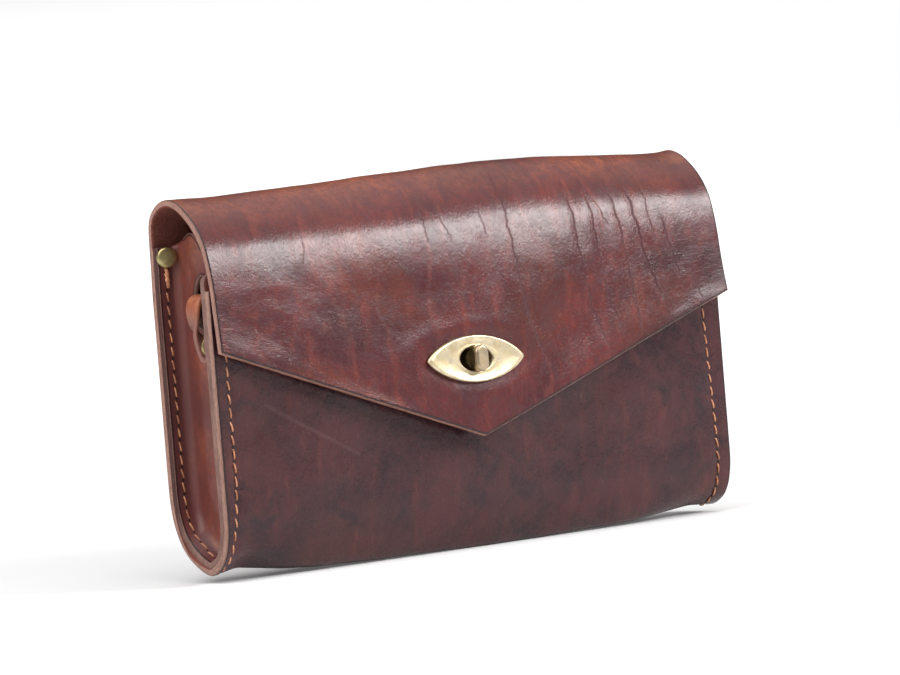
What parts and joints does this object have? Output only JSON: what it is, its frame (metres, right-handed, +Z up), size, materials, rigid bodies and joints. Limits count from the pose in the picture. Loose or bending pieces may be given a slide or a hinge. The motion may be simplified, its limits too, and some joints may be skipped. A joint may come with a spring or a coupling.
{
  "type": "leather tool bag",
  "caption": "Slim upright leather tool bag with a rounded bottom, recessed ends and a pointed flap closed by a brass turn lock.",
  "frame": {"origin": "on the floor under the middle of the bag, on the flattened part of the rounded bottom", "axes": "+X along the bag to the picture's right, -Y out of the front with the flap and lock, +Z up"},
  "size_m": [0.267, 0.0564, 0.1602],
  "materials": {
    "brown_leather": "oiled reddish-brown leather, worn and mottled, cut edges paler",
    "tan_leather": "smooth orange-tan leather strap",
    "aged_brass": "polished brass dulled by age"
  },
  "bodies": {
    "root": {"body_wrap": "brown_leather", "gusset_left": "brown_leather", "gusset_right": "brown_leather", "side_strap_left": "tan_leather", "side_strap_right": "tan_leather", "rivet_back_left": "aged_brass", "rivet_back_right": "aged_brass", "rivet_strap_left": "aged_brass", "rivet_strap_right": "aged_brass", "lock_plate": "aged_brass", "lock_base": "aged_brass"},
    "knob": {"turn_knob": "aged_brass"}
  },
  "joints": [
    {"name": "knob_turn", "type": "hinge", "parent": "root", "child": "knob", "pos_m": [-0.007, -0.02848, 0.0797], "axis": [0, -0.9962, 0.0872], "range_deg": [0, 90]}
  ]
}
